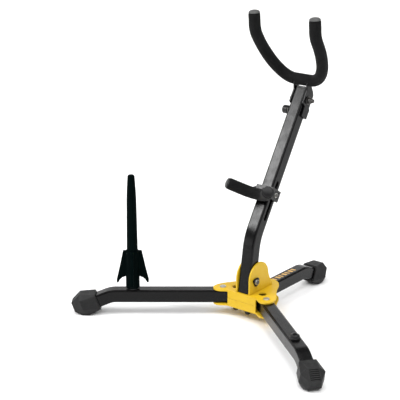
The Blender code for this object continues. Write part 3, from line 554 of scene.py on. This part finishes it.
# The upright's upper stretch leans back by this much; positions on it count from its top end.
UPRIGHT_LEAN = math.radians(32.6)
PIVOT_BELOW_TOP = 15.0 * MM
YOKE_PIVOT = Vector(JOINTS["yoke_fold"]["pos_m"])
UPRIGHT_UP = Vector((0.0, math.sin(UPRIGHT_LEAN), math.cos(UPRIGHT_LEAN)))
UPRIGHT_FORWARD = Vector((0.0, -math.cos(UPRIGHT_LEAN), math.sin(UPRIGHT_LEAN)))
UPRIGHT_TOP = YOKE_PIVOT + UPRIGHT_UP * PIVOT_BELOW_TOP


def upright(x, forward, up):
    """World point from millimetres across, forward of and up from the upright's top end."""
    return UPRIGHT_TOP + Vector((x * MM, 0, 0)) + UPRIGHT_FORWARD * forward * MM + UPRIGHT_UP * up * MM


YOKE_TILT = math.radians(34.0)
YOKE_END_TILT = math.radians(5.0)
YOKE_HALF, YOKE_FLAT, YOKE_RISE, YOKE_END_RISE = 53.6, 14.6, 85.0, 33.4
YOKE_FORWARD = YOKE_UP = 12.6
YOKE_TURN_STEPS, YOKE_END_STEPS, YOKE_END_STEP = 12, 4, 5.0
CHEEK_IN, CHEEK_OUT, CHEEK_HEAD = 10.4, 12.8, 7.4
SLIT_MARGIN, SLIT_SKIN, CHEEK_CLEARANCE = 0.5, 0.25, 0.3
# Foam that faces further down and back than this lies in the slit itself.
SLIT_FACING = 0.15


def leaning(angle):
    """Direction that leans forward from straight up by an angle."""
    return Vector((0, -math.sin(angle), math.cos(angle)))


def yoke_path():
    """Centre line of the yoke's bar: a flat bottom, two quarter turns and two arms that straighten up."""
    middle = upright(0, YOKE_FORWARD, YOKE_UP)
    points = [(0.0, 0.0), (YOKE_FLAT, 0.0)]
    for step in range(1, YOKE_TURN_STEPS + 1):
        turn = math.pi / 2 * step / YOKE_TURN_STEPS
        across = YOKE_FLAT + (YOKE_HALF - YOKE_FLAT) * math.sin(turn)
        points.append((across, YOKE_RISE * (1 - math.cos(turn))))
    rise = leaning(YOKE_TILT)
    path = [middle + Vector((x * MM, 0, 0)) + rise * h * MM for x, h in points]
    lean = YOKE_TILT
    for _ in range(YOKE_END_STEPS):
        lean -= (YOKE_TILT - YOKE_END_TILT) / YOKE_END_STEPS
        path.append(path[-1] + leaning(lean) * YOKE_END_STEP * MM)
    path.append(path[-1] + leaning(lean) * (YOKE_END_RISE - YOKE_END_STEPS * YOKE_END_STEP) * MM)
    mirrored = [Vector((-p.x, p.y, p.z)) for p in reversed(path[1:])]
    return mirrored + path


def yoke_pinch(point, facing, reach, bore):
    """The foam narrows into a slit where a cheek of the bracket comes up through it."""
    across = abs(point.x) / MM
    if not CHEEK_IN - SLIT_MARGIN < across < CHEEK_OUT + SLIT_MARGIN:
        return reach, bore
    behind = -facing.dot(UPRIGHT_FORWARD) - facing.dot(UPRIGHT_UP)
    if behind > SLIT_FACING:
        return bore + SLIT_SKIN * MM, bore
    hollow = (CHEEK_HEAD + CHEEK_CLEARANCE) * MM
    return max(reach, hollow + CHEEK_CLEARANCE * MM), hollow


def no_pinch(point, facing, reach, bore):
    """Leaves the foam as it is."""
    return reach, bore


REST_FORWARD, REST_DOWN = 24.0, -178.0
REST_BEND, REST_ARM, REST_REACH = 26.0, math.radians(54.0), 36.5
REST_TURN_STEPS = 8
REST_ARM_SHARES = (0.33, 0.67, 1.0)


def rest_path():
    """Centre line of the rest's bar: an arc around the clamp and two straight arms."""
    half = [(0.0, REST_FORWARD)]
    for step in range(1, REST_TURN_STEPS + 1):
        turn = REST_ARM * step / REST_TURN_STEPS
        forward = REST_FORWARD + REST_BEND * (1 - math.cos(turn))
        half.append((REST_BEND * math.sin(turn), forward))
    x0, f0 = half[-1]
    for share in REST_ARM_SHARES:
        reach = (REST_REACH - x0) * share
        half.append((x0 + reach, f0 + reach * math.tan(REST_ARM)))
    both = [(-x, f) for x, f in reversed(half[1:])] + half
    return [upright(x, f, REST_DOWN) for x, f in both]


YOKE_NORMAL = Vector((0, math.cos(YOKE_TILT), math.sin(YOKE_TILT)))
YOKE_FOAM, YOKE_BORE, YOKE_SEED = 9.2 * MM, 5.6 * MM, 3.7
REST_FOAM, REST_BORE, REST_SEED = 9.0 * MM, 4.4 * MM, 11.0
sleeve("yoke_foam_sleeve", "yoke", "yoke_foam", yoke_path(), YOKE_NORMAL,
       YOKE_FOAM, YOKE_BORE, yoke_pinch, YOKE_SEED)
sleeve("rest_foam_sleeve", "rest", "rest_foam", rest_path(), UPRIGHT_UP,
       REST_FOAM, REST_BORE, no_pinch, REST_SEED)


# ---------------------------------------------------------------- generic stripes on the rear leg

STRIPE_COUNT = 7
STRIPE_START, STRIPE_PITCH = 76.0 * MM, 8.6 * MM
STRIPE_HALF_WIDTH, STRIPE_SLANT = 4.2 * MM, 1.6 * MM
SHORT_SHARE, LONG_SHARE = 0.42, 0.62
TUBE_HALF = 10.0 * MM
STRIPE_BURIED, STRIPE_PROUD = 0.02 * MM, 0.06 * MM


def make_stripes():
    """Short slanted bars of tan print on top of the rear leg, with no lettering."""
    top = HUB.z + TUBE_HALF
    work = bmesh.new()
    for index in range(STRIPE_COUNT):
        start = HUB.y + STRIPE_START + STRIPE_PITCH * index
        length = STRIPE_PITCH * (LONG_SHARE if index % 2 else SHORT_SHARE)
        outline = (
            (-STRIPE_HALF_WIDTH, start),
            (STRIPE_HALF_WIDTH, start + STRIPE_SLANT),
            (STRIPE_HALF_WIDTH, start + STRIPE_SLANT + length),
            (-STRIPE_HALF_WIDTH, start + length),
        )
        heights = (top - STRIPE_BURIED, top + STRIPE_PROUD)
        lower, upper = ([work.verts.new((x, y, z)) for x, y in outline] for z in heights)
        work.faces.new(lower)
        work.faces.new(upper)
        join_rings(work, lower, upper)
    bmesh.ops.recalc_face_normals(work, faces=work.faces)
    obj = mesh_object("rear_leg_stripes", work)
    dress(obj, "print")
    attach(obj, "hub")


make_stripes()
